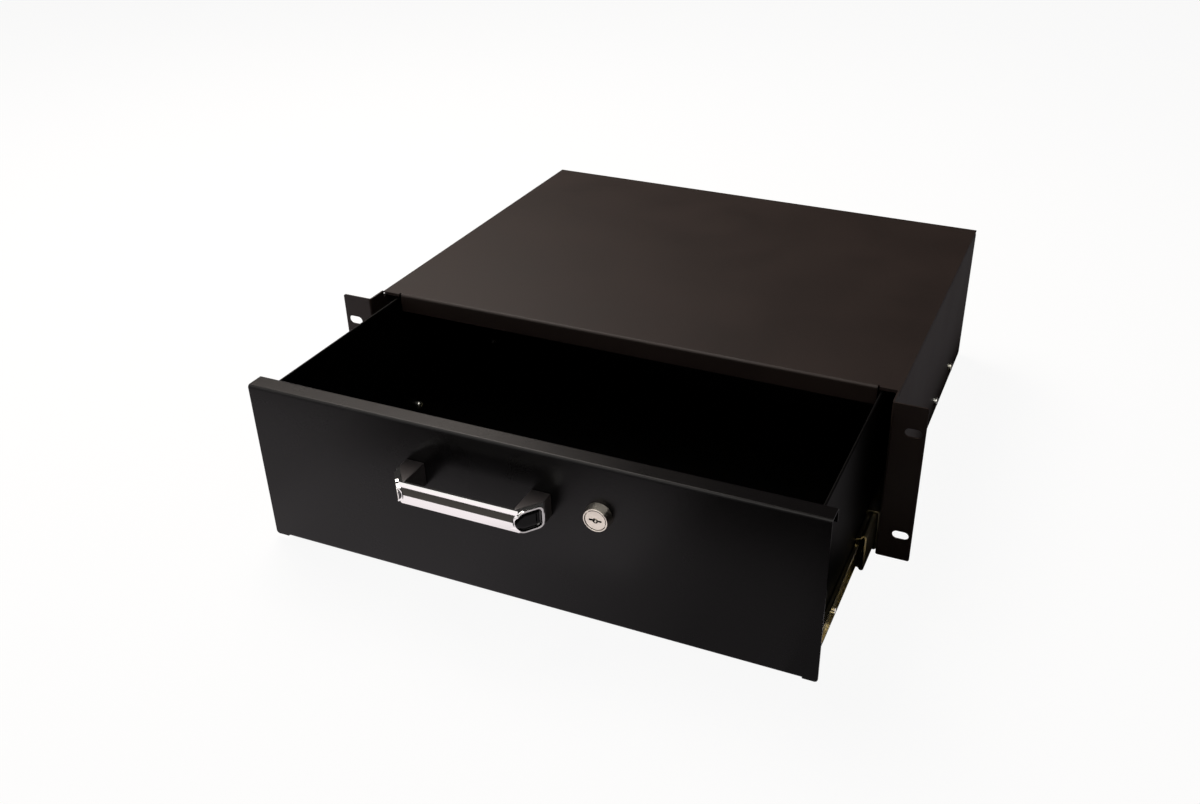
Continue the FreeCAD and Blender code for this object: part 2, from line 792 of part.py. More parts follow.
def lock_body():
    """Tapered head in front of the panel, flatted barrel behind it and the plug's bore."""
    profile = [(0, 0), (lock_base_radius, 0), (lock_base_radius, -lock_skirt),
               (lock_face_radius + lock_shoulder, -2 * lock_skirt),
               (lock_face_radius, -lock_head_length), (0, -lock_head_length)]
    points = [Vector(lock_x + r, y, lock_height) for r, y in profile]
    face = Part.Face(Part.makePolygon(points + points[:1]))
    head = face.revolve(Vector(lock_x, 0, lock_height), Vector(0, 1, 0), 360)
    head = head.makeFillet(lock_rim_radius, edge_ring(head, -lock_head_length))
    body = head.fuse(barrel_shape(lock_barrel_radius, lock_barrel_flats, 0, barrel_end))
    bore = lock_rod(lock_plug_radius + lock_running_gap, -lock_head_length - cut_margin,
                    barrel_end + cut_margin)
    recess = lock_rod(plug_face_radius + lock_running_gap, -lock_head_length - cut_margin,
                      plug_front + plug_face_thickness + lock_running_gap)
    return body.cut([bore, recess]).removeSplitter()


def lock_plug():
    """Turning plug: a disc with the keyway in front, a square drive at the back."""
    drive_end = cam_front + cam_thickness
    disc = lock_rod(plug_face_radius, plug_front, plug_front + plug_face_thickness)
    disc = disc.makeFillet(lock_plug_edge, edge_ring(disc, plug_front))
    plug = disc.fuse(lock_rod(lock_plug_radius, plug_front, cam_front))
    half = cam_square / 2
    plug = plug.fuse(block(lock_x - half, lock_x + half, cam_front, drive_end,
                           lock_height - half, lock_height + half))
    slot_end = plug_front + keyway_depth
    slot = block(lock_x - keyway_length / 2, lock_x + keyway_length / 2,
                 plug_front - cut_margin, slot_end, lock_height - keyway_width / 2,
                 lock_height + keyway_width / 2)
    core = lock_rod(keyway_width, plug_front - cut_margin, slot_end)
    hole = lock_rod(screw_radius + screw_gap, drive_end - cam_screw_depth, drive_end)
    return plug.cut([slot, core, hole])


def lock_nut():
    """Hexagon nut that clamps the barrel to the panel."""
    corner = lock_nut_across_flats / 2 / math.cos(math.pi / 6)
    corners = []
    for i in range(7):
        angle = math.pi / 6 + i * math.pi / 3
        corners.append(Vector(lock_x + corner * math.cos(angle), sheet,
                              lock_height + corner * math.sin(angle)))
    nut = Part.Face(Part.makePolygon(corners)).extrude(Vector(0, lock_nut_thickness, 0))
    return nut.cut(lock_rod(lock_barrel_radius + screw_gap, 0, sheet + lock_nut_thickness))


def lock_cam():
    """Flat cam on the plug's square, lying to the right while the lock is open."""
    half = cam_width / 2
    points = [(lock_x - half, lock_height - half), (lock_x + cam_reach, lock_height - half),
              (lock_x + cam_reach, lock_height + half), (lock_x - half, lock_height + half)]
    radii = [half * ROUND_END, cam_corner_radius, cam_corner_radius, half * ROUND_END]
    cam = outline_face(points, radii, front_section(cam_front))
    cam = cam.extrude(Vector(0, cam_thickness, 0))
    side = cam_square / 2 + screw_gap
    return cam.cut(block(lock_x - side, lock_x + side, cam_front, cam_front + cam_thickness,
                         lock_height - side, lock_height + side))


def lock_cam_screw():
    """Screw that holds the cam on the plug's square."""
    seat = (lock_x, cam_front + cam_thickness, lock_height)
    return pan_head_screw(seat, (0, 1, 0), cam_screw_length)


# ---- Build ----------------------------------------------------------------------------
export_pair("side_panel", right_side_panel())
export("top_cover", top_cover())
export("floor_panel", floor_panel())
export("rear_panel", rear_panel())

export_pair("outer_member", outer_member())
export_pair("middle_member", middle_member(), rest_opening * MIDDLE_SHARE)
export_pair("inner_member", inner_member(), rest_opening)
export_pair("closing_bumper", closing_bumper())

outer_cage_front = slide_setback + drawer_travel * OUTER_CAGE_SHARE + outer_cage_lead
outer_places = ball_places(outer_cage_front, outer_cage_length, outer_cage_balls)
export_pair("outer_ball_cage", outer_cage(outer_cage_front, outer_places),
            rest_opening * OUTER_CAGE_SHARE)
export_pair("outer_balls", balls(outer_ball_u, outer_ball_v, outer_places),
            rest_opening * OUTER_CAGE_SHARE)

inner_cage_travel = drawer_travel * (INNER_CAGE_SHARE - MIDDLE_SHARE)
inner_cage_front = middle_setback + inner_cage_travel + inner_cage_lead
inner_places = ball_places(inner_cage_front, inner_cage_length, inner_cage_balls)
export_pair("inner_ball_cage", inner_cage(inner_cage_front, inner_places),
            rest_opening * INNER_CAGE_SHARE)
export_pair("inner_balls", balls(inner_ball_u, inner_ball_v, inner_places),
            rest_opening * INNER_CAGE_SHARE)

screws, washers = case_screws()
export("slide_case_screws", screws)
export("slide_case_washers", washers)

export("drawer_tray", moved(drawer_tray(), rest_opening))
export("drawer_rear_wall", moved(drawer_rear_wall(), rest_opening))
export("drawer_front_panel", moved(drawer_front_panel(), rest_opening))
export("slide_drawer_screws", moved(drawer_screws(), rest_opening))

export("handle_grip", moved(handle_grip(), rest_opening))
export("right_handle_leg", moved(right_handle_leg(), rest_opening))
export("left_handle_leg", moved(across_handle(right_handle_leg()), rest_opening))
screws, washers = handle_fasteners()
export("handle_screws", moved(screws, rest_opening))
export("handle_washers", moved(washers, rest_opening))

export("lock_body", moved(lock_body(), rest_opening))
export("lock_nut", moved(lock_nut(), rest_opening))
export("lock_plug", moved(lock_plug(), rest_opening))
export("lock_cam", moved(lock_cam(), rest_opening))
export("lock_cam_screw", moved(lock_cam_screw(), rest_opening))
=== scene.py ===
"""Looks of a lockable sliding rack drawer: powder-coated case and drawer, zinc-plated
ball-bearing slides, a pull handle with a chromed band and a nickel-plated cam lock."""

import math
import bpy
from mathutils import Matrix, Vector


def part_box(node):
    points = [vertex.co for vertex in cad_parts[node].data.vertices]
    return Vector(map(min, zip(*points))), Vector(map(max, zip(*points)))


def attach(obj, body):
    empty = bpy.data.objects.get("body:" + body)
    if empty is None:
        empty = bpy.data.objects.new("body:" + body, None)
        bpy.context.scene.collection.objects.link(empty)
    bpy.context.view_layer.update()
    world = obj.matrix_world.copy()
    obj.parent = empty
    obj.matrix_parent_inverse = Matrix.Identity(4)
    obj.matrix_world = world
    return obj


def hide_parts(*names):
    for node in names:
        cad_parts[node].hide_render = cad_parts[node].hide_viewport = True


bl_info = {
    "name": "Sliding rack drawer",
    "version": (1, 0, 0),
    "blender": (4, 5, 0),
    "location": "View3D > Sidebar > Rack Drawer",
    "description": "Finishes a sliding rack drawer and sets it on a studio table",
    "category": "Object",
}

import bpy
from mathutils import Matrix, Vector

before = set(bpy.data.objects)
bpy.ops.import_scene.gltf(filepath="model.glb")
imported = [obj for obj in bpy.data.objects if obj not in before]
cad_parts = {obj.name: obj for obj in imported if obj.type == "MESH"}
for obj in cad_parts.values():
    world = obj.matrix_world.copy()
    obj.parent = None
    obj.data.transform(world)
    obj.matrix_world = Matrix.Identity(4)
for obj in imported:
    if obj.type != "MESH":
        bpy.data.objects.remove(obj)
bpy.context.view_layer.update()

MM = 0.001


# ---- Places read from the frame -------------------------------------------------------
def middle(node):
    low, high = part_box(node)
    return (low + high) / 2


def size(node):
    low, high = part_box(node)
    return high - low


panel_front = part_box("drawer_front_panel")[0].y
table_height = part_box("right_side_panel")[0].z
grip_low, grip_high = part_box("handle_grip")
plug_low, plug_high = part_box("lock_plug")
lock_low, lock_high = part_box("lock_body")


# ---- Sizes and colours that a user would change ---------------------------------------
class RackDrawerSizes(bpy.types.PropertyGroup):
    """Sizes of the pieces that are modelled here."""

    band_bulge: bpy.props.FloatProperty(
        name="Band bulge", description="How far the middle of the chromed band stands proud",
        default=1.8 * MM, unit="LENGTH")
    band_thickness: bpy.props.FloatProperty(
        name="Band thickness", description="Depth of the chromed band at its middle",
        default=3.4 * MM, unit="LENGTH")
    band_front_half: bpy.props.FloatProperty(
        name="Band half length", description="From the middle of the band to its bend",
        default=45.6 * MM, unit="LENGTH")
    band_end_depth: bpy.props.FloatProperty(
        name="Sloping end depth", description="How far the sloping end runs back",
        default=14.9 * MM, unit="LENGTH")
    rim_width: bpy.props.FloatProperty(
        name="Rim width", description="Width of the bright rim round the oval window",
        default=1.2 * MM, unit="LENGTH")
    rim_overhang: bpy.props.FloatProperty(
        name="Rim overhang", description="How far the rim runs round the bend of the band",
        default=2.15 * MM, unit="LENGTH")
    rim_height: bpy.props.FloatProperty(
        name="Rim height", description="How far the rim stands proud of the band",
        default=0.55 * MM, unit="LENGTH")
    dish_depth: bpy.props.FloatProperty(
        name="Oval depth", description="Depth of the black oval below the rim",
        default=1.7 * MM, unit="LENGTH")
    collar_taper: bpy.props.FloatProperty(
        name="Collar taper", description="Face of the lock's collar as a share of its foot",
        default=0.87, min=0.5, max=1.0)
    plug_gap: bpy.props.FloatProperty(
        name="Plug gap", description="Shadow gap between the collar and the turning plug",
        default=0.60 * MM, unit="LENGTH")
    leg_edge: bpy.props.FloatProperty(
        name="Leg edge", description="Width of the bevel on the plastic legs",
        default=0.6 * MM, unit="LENGTH")


class RackDrawerFinishes(bpy.types.PropertyGroup):
    """Base colours of the finishes."""

    case_black: bpy.props.FloatVectorProperty(
        name="Case black", description="Powder coat of the case",
        subtype="COLOR", size=3, min=0, max=1, default=(0.0195, 0.0110, 0.0085))
    # Partly the coat's own black and partly painted shade: written darker than the real powder
    # coat, which is about as dark as the case black, so the front panel stays dark
    front_black_and_shade: bpy.props.FloatVectorProperty(
        name="Front black", description="Powder coat of the drawer's front panel",
        subtype="COLOR", size=3, min=0, max=1, default=(0.0042, 0.0032, 0.0036))
    # Partly the coat's own black and partly painted shade: written far darker than the real powder
    # coat, so the tray and its walls stay as dark as the shade they sit in
    drawer_black_and_shade: bpy.props.FloatVectorProperty(
        name="Drawer black", description="Powder coat of the tray",
        subtype="COLOR", size=3, min=0, max=1, default=(0.0012, 0.0010, 0.0009))
    zinc: bpy.props.FloatVectorProperty(
        name="Zinc", description="Passivated zinc plate of the slides",
        subtype="COLOR", size=3, min=0, max=1, default=(0.86, 0.80, 0.62))
    nickel: bpy.props.FloatVectorProperty(
        name="Nickel", description="Warm nickel plate of the lock",
        subtype="COLOR", size=3, min=0, max=1, default=(1.00, 0.93, 0.82))
    chrome: bpy.props.FloatVectorProperty(
        name="Chrome", description="Bright plate of the handle's band",
        subtype="COLOR", size=3, min=0, max=1, default=(0.95, 0.94, 0.93))


# Height of the fine relief in the finishes
POWDER_GRAIN = 0.03 * MM
ROLLING_LINE = 0.02 * MM
LEG_GRAIN = 0.02 * MM
FACE_SPECKLE = 0.04 * MM
DRUM_FLECK = 0.03 * MM


# ---- Shader expressions ---------------------------------------------------------------
class Value:
    """A shader socket that adds Math nodes when it is used in an expression."""

    def __init__(self, tree, socket):
        self.tree = tree
        self.socket = socket

    def _math(self, operation, *others):
        return self.tree.node("ShaderNodeMath", {"operation": operation},
                              (self,) + others)

    def __add__(self, other):
        return self._math("ADD", other)

    def __radd__(self, other):
        return self._math("ADD", other)

    def __sub__(self, other):
        return self._math("SUBTRACT", other)

    def __rsub__(self, other):
        return self.tree.node("ShaderNodeMath", {"operation": "SUBTRACT"}, (other, self))

    def __mul__(self, other):
        return self._math("MULTIPLY", other)

    def __rmul__(self, other):
        return self._math("MULTIPLY", other)

    def __gt__(self, other):
        return self._math("GREATER_THAN", other)

    def __lt__(self, other):
        return self._math("LESS_THAN", other)


class Finish:
    """One material's node tree, with a Principled shader at its end."""

    def __init__(self, name, **settings):
        self.material = bpy.data.materials.new(name)
        self.material.use_nodes = True
        self.nodes = self.material.node_tree.nodes
        self.links = self.material.node_tree.links
        self.shader = self.nodes["Principled BSDF"]
        for socket, value in settings.items():
            self.set(socket.title(), value)

    def set(self, socket, value):
        """Gives a socket of the shader a plain value, or links it."""
        self._feed(self.shader.inputs[socket], value)

    def _feed(self, socket, value):
        if isinstance(value, Value):
            self.links.new(value.socket, socket)
        elif isinstance(value, (int, float)) or len(value) == len(socket.default_value):
            socket.default_value = value
        else:
            socket.default_value = tuple(value) + (1.0,)

    def node(self, kind, settings=None, inputs=(), output=0):
        """Adds a node, gives it its settings and then its sockets' values or links."""
        made = self.nodes.new(kind)
        for name, value in (settings or {}).items():
            setattr(made, name, value)
        pairs = inputs.items() if isinstance(inputs, dict) else enumerate(inputs)
        for key, value in pairs:
            self._feed(made.inputs[key], value)
        return Value(self, made.outputs[output])

    def place(self):
        """Position on the piece, in metres."""
        return self.node("ShaderNodeTexCoord", output="Object")

    def along(self, axis):
        """Position along X, Y or Z on the piece, in metres."""
        return self.node("ShaderNodeSeparateXYZ", inputs=[self.place()],
                         output="XYZ".index(axis))

    def ray_is(self, kind):
        """1 for rays of a kind, such as Camera or Glossy, and 0 for others."""
        return self.node("ShaderNodeLightPath", output=f"Is {kind} Ray")

    def noise(self, scale, detail=2.0, stretch=(1, 1, 1)):
        """Grey noise, with the given number of lumps to the metre."""
        mapping = self.node("ShaderNodeMapping", inputs={"Vector": self.place(),
                                                         "Scale": stretch})
        return self.node("ShaderNodeTexNoise", inputs={"Vector": mapping, "Scale": scale,
                                                       "Detail": detail})

    def clamp(self, value, low, high):
        """Maps low..high to 0..1 and stops there."""
        return self.node("ShaderNodeMapRange", inputs={"Value": value, "From Min": low,
                                                       "From Max": high})

    def blend(self, share, first, second):
        """Mixes two colours by a share."""
        return self.node("ShaderNodeMix", {"data_type": "RGBA"},
                         {0: share, 6: first, 7: second}, output=2)

    def bump(self, height, distance, strength=1.0):
        """Raises the surface by a height that is multiplied by a distance in metres."""
        normal = self.node("ShaderNodeBump", inputs={"Strength": strength,
                                                     "Distance": distance,
                                                     "Height": height})
        self.set("Normal", normal)


class Room(Finish):
    """The world's node tree, with its background at the end."""

    def __init__(self, world):
        world.use_nodes = True
        self.nodes = world.node_tree.nodes
        self.links = world.node_tree.links
        self.shader = self.nodes["Background"]

    def towards(self, axis):
        """How far a ray points along X, Y or Z."""
        ray = self.node("ShaderNodeTexCoord", output="Generated")
        return self.node("ShaderNodeSeparateXYZ", inputs=[ray], output="XYZ".index(axis))


def between(value, low, high):
    """1 where a shader value lies between two limits, and 0 elsewhere."""
    return (value > low) * (value < high)


def shade(colour, share):
    """The colour, made darker or lighter by a share."""
    return tuple(channel * share for channel in colour)


def powder_coat(name, colour, roughness, level):
    """Satin powder coat: fine pebbled skin, faint cloudiness and a few dust specks."""
    coat = Finish(name, roughness=roughness)
    coat.set("Specular IOR Level", level)
    cloud = coat.clamp(coat.noise(14, 3), 0.35, 0.65)
    fine = coat.noise(2600, 2)
    tone = coat.blend(cloud, shade(colour, 0.90), shade(colour, 1.10))
    speck = coat.clamp(coat.noise(900, 1), 0.70, 0.74)
    coat.set("Base Color", coat.blend(speck * 0.5, tone, shade(colour, 2.2)))
    coat.set("Roughness", roughness - 0.03 + cloud * 0.04 + fine * 0.03)
    coat.bump(fine + coat.noise(700, 2) * 1.5, POWDER_GRAIN)
    return coat.material


def plated_steel(name, colour, roughness, tint):
    """Zinc-plated steel strip with rolling lines along it and a faint passivated tint."""
    steel = Finish(name, metallic=1.0)
    lines = steel.noise(160, 3, (30, 1, 30))
    cloud = steel.clamp(steel.noise(60, 2), 0.3, 0.7)
    steel.set("Base Color", steel.blend(cloud, colour, tint))
    steel.set("Roughness", roughness + lines * 0.16)
    steel.bump(lines, ROLLING_LINE, 0.4)
    return steel.material


def dull(name, lumps, dark, light, roughness):
    """Rough coat without metal, mottled between two colours."""
    coat = Finish(name, roughness=roughness)
    coat.set("Base Color", coat.blend(coat.noise(lumps), dark, light))
    return coat


def give(material, *names):
    """Puts one material on the named nodes or pieces."""
    for name in names:
        slots = bpy.data.objects[name].data.materials
        slots.clear()
        slots.append(material)


def both_sides(*names):
    return [side + name for name in names for side in ("left_", "right_")]


# ---- Modelling aids -------------------------------------------------------------------
def start_piece(name):
    """Names the new primitive, which is the active object, and returns it."""
    piece = bpy.context.object
    piece.name = name
    piece.data.name = name
    return piece


def deselect():
    bpy.ops.object.select_all(action="DESELECT")


def select_only(piece):
    """Selects one piece and makes it the active one."""
    deselect()
    piece.select_set(True)
    bpy.context.view_layer.objects.active = piece


def settle(piece):
    """Applies place, turn and size, so the piece's object sits at the origin."""
    select_only(piece)
    bpy.ops.object.transform_apply(location=True, rotation=True, scale=True)


def smooth(piece, degrees):
    """Shades smooth up to an angle, with large faces kept flat to the eye."""
    select_only(piece)
    bpy.ops.object.shade_smooth_by_angle(angle=math.radians(degrees))
    flat = piece.modifiers.new("flat_faces", "WEIGHTED_NORMAL")
    flat.keep_sharp = True
    flat.weight = 90
    bpy.ops.object.modifier_apply(modifier=flat.name)


def edit(piece, mode):
    """Clears the piece's selection and sets what is selected: faces or edges."""
    select_only(piece)
    bpy.ops.object.mode_set(mode="EDIT")
    bpy.ops.mesh.select_mode(type=mode)
    bpy.ops.mesh.select_all(action="DESELECT")
    bpy.ops.object.mode_set(mode="OBJECT")


def pick_faces(piece, test):
    """Selects the faces that pass the test, by centre and normal, and goes on editing."""
    edit(piece, "FACE")
    for face in piece.data.polygons:
        face.select = test(face.center, face.normal)
    bpy.ops.object.mode_set(mode="EDIT")


def pick_edges(piece, test):
    """Selects the edges that pass the test, by their two ends, and goes on editing."""
    edit(piece, "EDGE")
    points = piece.data.vertices
    for line in piece.data.edges:
        a, b = (points[i].co for i in line.vertices)
        line.select = test(a, b)
    bpy.ops.object.mode_set(mode="EDIT")


def every_face(centre, direction):
    """Test for pick_faces that any face passes."""
    return True


def done():
    bpy.ops.object.mode_set(mode="OBJECT")


def move(piece, step):
    """Moves all of the piece's mesh."""
    pick_faces(piece, every_face)
    bpy.ops.transform.translate(value=step)
    done()


def add_box(name, low, high):
    """Block between two corners, as the start of a piece."""
    deselect()
    low, high = Vector(low), Vector(high)
    bpy.ops.mesh.primitive_cube_add(size=1, location=(low + high) / 2, scale=high - low)
    piece = start_piece(name)
    settle(piece)
    return piece


def trim(piece, point, normal):
    """Cuts the piece by a plane, drops the side that the normal points to, and caps it."""
    pick_faces(piece, every_face)
    bpy.ops.mesh.bisect(plane_co=point, plane_no=normal, use_fill=True, clear_outer=True)
    done()


def take_out(piece, cutter):
    """Subtracts the cutter and removes it."""
    select_only(piece)
    cut = piece.modifiers.new("cut", "BOOLEAN")
    cut.operation = "DIFFERENCE"
    cut.solver = "EXACT"
    cut.object = cutter
    bpy.ops.object.modifier_apply(modifier=cut.name)
    bpy.data.objects.remove(cutter)


def round_edges(piece, width, degrees, segments):
    """Rounds every edge sharper than the angle."""
    select_only(piece)
    bevel = piece.modifiers.new("edges", "BEVEL")
    bevel.width = width
    bevel.segments = segments
    bevel.limit_method = "ANGLE"
    bevel.angle_limit = math.radians(degrees)
    bevel.harden_normals = False
    bpy.ops.object.modifier_apply(modifier=bevel.name)


def join(piece, *others):
    """Makes one mesh of several pieces."""
    select_only(piece)
    for other in others:
        other.select_set(True)
    bpy.ops.object.join()


def mirrored(piece, name, across_x):
    """Mirror image of the piece with its own mesh, on the other side of an X."""
    select_only(piece)
    bpy.ops.object.duplicate()
    twin = start_piece(name)
    pick_faces(twin, every_face)
    bpy.ops.transform.mirror(constraint_axis=(True, False, False))
    done()
    low_x = min(point.co.x for point in twin.data.vertices)
    high_x = max(point.co.x for point in piece.data.vertices)
    bpy.ops.object.mode_set(mode="EDIT")
    bpy.ops.transform.translate(value=(2 * across_x - low_x - high_x, 0, 0))
    bpy.ops.mesh.normals_make_consistent(inside=False)
    done()
    return twin


def show(piece, node, body):
    """Hands a finished piece over: hides the node it replaces and hangs it on the body it rides.
    """
    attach(piece, body)
    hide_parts(node)


def settings():
    """The sizes and the finishes that the scene holds."""
    return bpy.context.scene.rack_drawer_sizes, bpy.context.scene.rack_drawer_finishes


# ---- Case and drawer ------------------------------------------------------------------
class RACKDRAWER_OT_case(bpy.types.Operator):
    """Coats the panels of the case"""

    bl_idname = "rackdrawer.case"
    bl_label = "Case"

    def execute(self, context):
        finishes = settings()[1]
        coat = powder_coat("case_powder_coat", finishes.case_black, 0.55, 0.36)
        give(coat, "left_side_panel", "right_side_panel", "top_cover", "floor_panel",
             "rear_panel")
        return {"FINISHED"}


class RACKDRAWER_OT_drawer(bpy.types.Operator):
    """Coats the tray, its rear wall and the front panel"""

    bl_idname = "rackdrawer.drawer"
    bl_label = "Drawer"

    def execute(self, context):
        finishes = settings()[1]
        # Tray coat: black with painted shade, darker than the real powder coat
        give(powder_coat("tray_powder_coat_and_shade", finishes.drawer_black_and_shade, 0.42, 0.12),
             "drawer_tray", "drawer_rear_wall")
        # Front coat: black with painted shade, darker than the real powder coat
        give(powder_coat("front_powder_coat_and_shade", finishes.front_black_and_shade, 0.28, 0.21),
             "drawer_front_panel")
        return {"FINISHED"}


class RACKDRAWER_OT_slides(bpy.types.Operator):
    """Plates the slides, their cages, balls and screws"""

    bl_idname = "rackdrawer.slides"
    bl_label = "Slides"

    def execute(self, context):
        finishes = settings()[1]
        # Painted shade: the outer and middle members get the zinc darkened to 0.42 of its colour,
        # with an olive tint, to stand for the shade inside their channels; the inner member keeps
        # the full zinc colour
        shaded_zinc = plated_steel("slide_zinc_painted_shade", shade(finishes.zinc, 0.42), 0.30,
                             (0.30, 0.25, 0.12))
        give(shaded_zinc, *both_sides("outer_member", "middle_member"))
        yellow = plated_steel("slide_zinc_yellow", finishes.zinc, 0.14, (0.90, 0.76, 0.38))
        give(yellow, *both_sides("inner_member"))
        give(plated_steel("cage_zinc", (0.5, 0.5, 0.48), 0.35, (0.42, 0.42, 0.4)),
             *both_sides("outer_ball_cage", "inner_ball_cage"))
        balls = Finish("ball_steel_polished", metallic=1.0, roughness=0.08)
        balls.set("Base Color", (0.75, 0.75, 0.76))
        give(balls.material, *both_sides("outer_balls", "inner_balls"))
        rubber = dull("bumper_rubber_black", 500, (0.012,) * 3, (0.02,) * 3, 0.75)
        give(rubber.material, *both_sides("closing_bumper"))
        give(plated_steel("screw_zinc", (0.70, 0.70, 0.68), 0.18, (0.74, 0.72, 0.62)),
             "slide_case_screws", "slide_case_washers", "slide_drawer_screws",
             "handle_screws", "handle_washers", "lock_cam_screw", "lock_cam")
        return {"FINISHED"}


# ---- Handle ---------------------------------------------------------------------------
SEAM = 0.02 * MM
WINDOW_END_MARGIN = 0.3 * MM
WINDOW_SIDE_MARGIN = 0.2 * MM
RIM_PROUD = 0.12 * MM
RIM_DEPTH = 3.0 * MM
# How far a cutter reaches in front of the sloping end and behind it
CUT_REACH = (5 * MM, 8 * MM)
# Inset of each step inside the dish, and how far it rises
DISH_STEPS = ((1.0 * MM, 0.5 * MM), (1.4 * MM, 0.35 * MM), (1.8 * MM, 0.2 * MM))


def sloping_end(sizes):
    """Bend, direction along and direction outwards of the band's right-hand sloping end."""
    handle = middle("handle_grip")
    bend = Vector((handle.x + sizes.band_front_half, grip_low.y, handle.z))
    half_length = size("handle_grip").x / 2
    along = Vector((half_length - sizes.band_front_half, sizes.band_end_depth, 0))
    length = along.length
    along.normalize()
    return bend, along, Vector((along.y, -along.x, 0)), length


def shrunk(oval, margin, start_share=1.0):
    """An oval's start, end and half height, smaller by a margin, or a share of it at the start."""
    start, end, half_height = oval
    return start + margin * start_share, end - margin, half_height - margin


def window_oval(sizes):
    """Start and end of the window along the sloping end, and its half height."""
    length = sloping_end(sizes)[3]
    return (-sizes.rim_overhang, length - WINDOW_END_MARGIN,
            size("handle_grip").z / 2 - WINDOW_SIDE_MARGIN)


def rim_opening(sizes):
    """The oval inside the rim, with a narrower rim where it runs round the bend."""
    return shrunk(window_oval(sizes), sizes.rim_width, 0.65)


def oval_block(name, sizes, oval, proud, deep):
    """Block with round ends across the sloping end: long at the bend, blunt at the leg."""
    bend, along, outward, _ = sloping_end(sizes)
    start, end, half_height = oval
    deselect()
    bpy.ops.mesh.primitive_cube_add(size=1, location=(0, 0, 0),
                                    scale=(end - start, proud + deep, 2 * half_height))
    piece = start_piece(name)
    settle(piece)
    for side, share in ((-1, 0.97), (1, 0.45)):
        pick_edges(piece, lambda a, b: abs(a.x - b.x) + abs(a.z - b.z) < 1e-6
                   and a.x * side > 0 and abs(abs(a.z) - half_height) < 1e-5)
        bpy.ops.mesh.bevel(offset=half_height * share, segments=24, affect="EDGES")
        done()
    piece.rotation_euler = (0, 0, math.atan2(along.y, along.x))
    piece.location = (bend + along * (start + end) / 2 + outward * (proud - deep) / 2)
    settle(piece)
    return piece


def band_body(sizes):
    """Chromed band: a long bulging bar, mitred and bent back at both ends."""
    _, along, _, length = sloping_end(sizes)
    handle = middle("handle_grip")
    half = size("handle_grip").z / 2
    radius = (half ** 2 + sizes.band_bulge ** 2) / (2 * sizes.band_bulge)
    deselect()
    bpy.ops.mesh.primitive_cylinder_add(
        vertices=400, radius=radius, depth=3 * size("handle_grip").x,
        location=(handle.x, grip_low.y + radius, handle.z), rotation=(0, math.pi / 2, 0))
    band = start_piece("chromed_band")
    settle(band)
    trim(band, (0, 0, grip_high.z), (0, 0, 1))
    trim(band, (0, 0, grip_low.z), (0, 0, -1))
    trim(band, (0, grip_low.y + sizes.band_thickness, 0), (0, 1, 0))
    for side in (1, -1):
        slope = Vector((side * along.x, along.y, 0))
        mitre = Vector((side, 0, 0)) + slope
        mitre.normalize()
        corner = Vector((handle.x + side * sizes.band_front_half, grip_low.y, 0))
        trim(band, corner, mitre)
        pick_faces(band, lambda centre, direction: direction.dot(mitre) > 0.999)
        bpy.ops.mesh.extrude_region_move(
            TRANSFORM_OT_translate={"value": slope * length * 1.6})
        done()
        trim(band, corner + slope * length, slope)
    move(band, (0, sizes.rim_height, 0))
    return band


def window_rim(sizes):
    """Raised rim round the window, with a front that leans down where it meets the band."""
    handle = middle("handle_grip")
    rim = oval_block("window_rim", sizes, window_oval(sizes), RIM_PROUD, RIM_DEPTH)
    take_out(rim, oval_block("rim_hole", sizes, rim_opening(sizes), *CUT_REACH))
    trim(rim, (0, grip_low.y, 0), (0, -1, 0))
    top_inside = handle.z + rim_opening(sizes)[2]
    trim(rim, (0, grip_low.y + 0.03 * MM, top_inside), (0, -0.998, -0.06))
    round_edges(rim, 0.36 * MM, 40, 4)
    return rim


def model_band(sizes):
    """The band with a window and a rim in each sloping end."""
    handle = middle("handle_grip")
    band = band_body(sizes)
    window = oval_block("window", sizes, shrunk(window_oval(sizes), SEAM), *CUT_REACH)
    other = mirrored(window, "other_window", handle.x)
    take_out(band, window)
    take_out(band, other)
    round_edges(band, 0.3 * MM, 25, 2)
    rim = window_rim(sizes)
    join(band, rim, mirrored(rim, "other_rim", handle.x))
    smooth(band, 25)
    return band


def model_dish(sizes):
    """Glossy black oval inside the rim, stepped down to a shallow dish."""
    outward = sloping_end(sizes)[2]
    dish = oval_block("dish", sizes, shrunk(rim_opening(sizes), 2 * SEAM),
                      -sizes.dish_depth, sizes.band_thickness + 0.5 * MM)
    pick_faces(dish, lambda centre, direction: direction.dot(outward) > 0.9)
    for inset, rise in DISH_STEPS:
        bpy.ops.mesh.inset(thickness=inset)
        bpy.ops.transform.translate(value=outward * rise)
    done()
    gloss = dull("oval_gloss_black", 300, (0.002,) * 3, (0.004,) * 3, 0.12)
    gloss.set("Specular IOR Level", 0.25)
    give(gloss.material, "dish")
    return dish


def model_leg(sizes):
    """Right leg: a block behind the band, cut to the slope of its end."""
    bend, _, outward, _ = sloping_end(sizes)
    leg_low, leg_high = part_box("right_handle_leg")
    leg = add_box("right_leg_moulding", (leg_low.x, grip_low.y, leg_low.z), leg_high)
    behind = sizes.band_thickness + sizes.rim_height + SEAM
    trim(leg, bend - outward * behind, outward)
    trim(leg, (0, grip_low.y + behind, 0), (0, -1, 0))
    round_edges(leg, sizes.leg_edge, 30, 3)
    plastic = Finish("leg_plastic")
    grain = plastic.noise(1800, 2)
    plastic.set("Base Color", plastic.blend(grain, (0.100, 0.088, 0.088),
                                            (0.130, 0.118, 0.118)))
    plastic.set("Roughness", 0.28 + grain * 0.12)
    plastic.bump(grain, LEG_GRAIN)
    give(plastic.material, leg.name)
    join(leg, model_dish(sizes))
    smooth(leg, 50)
    return leg


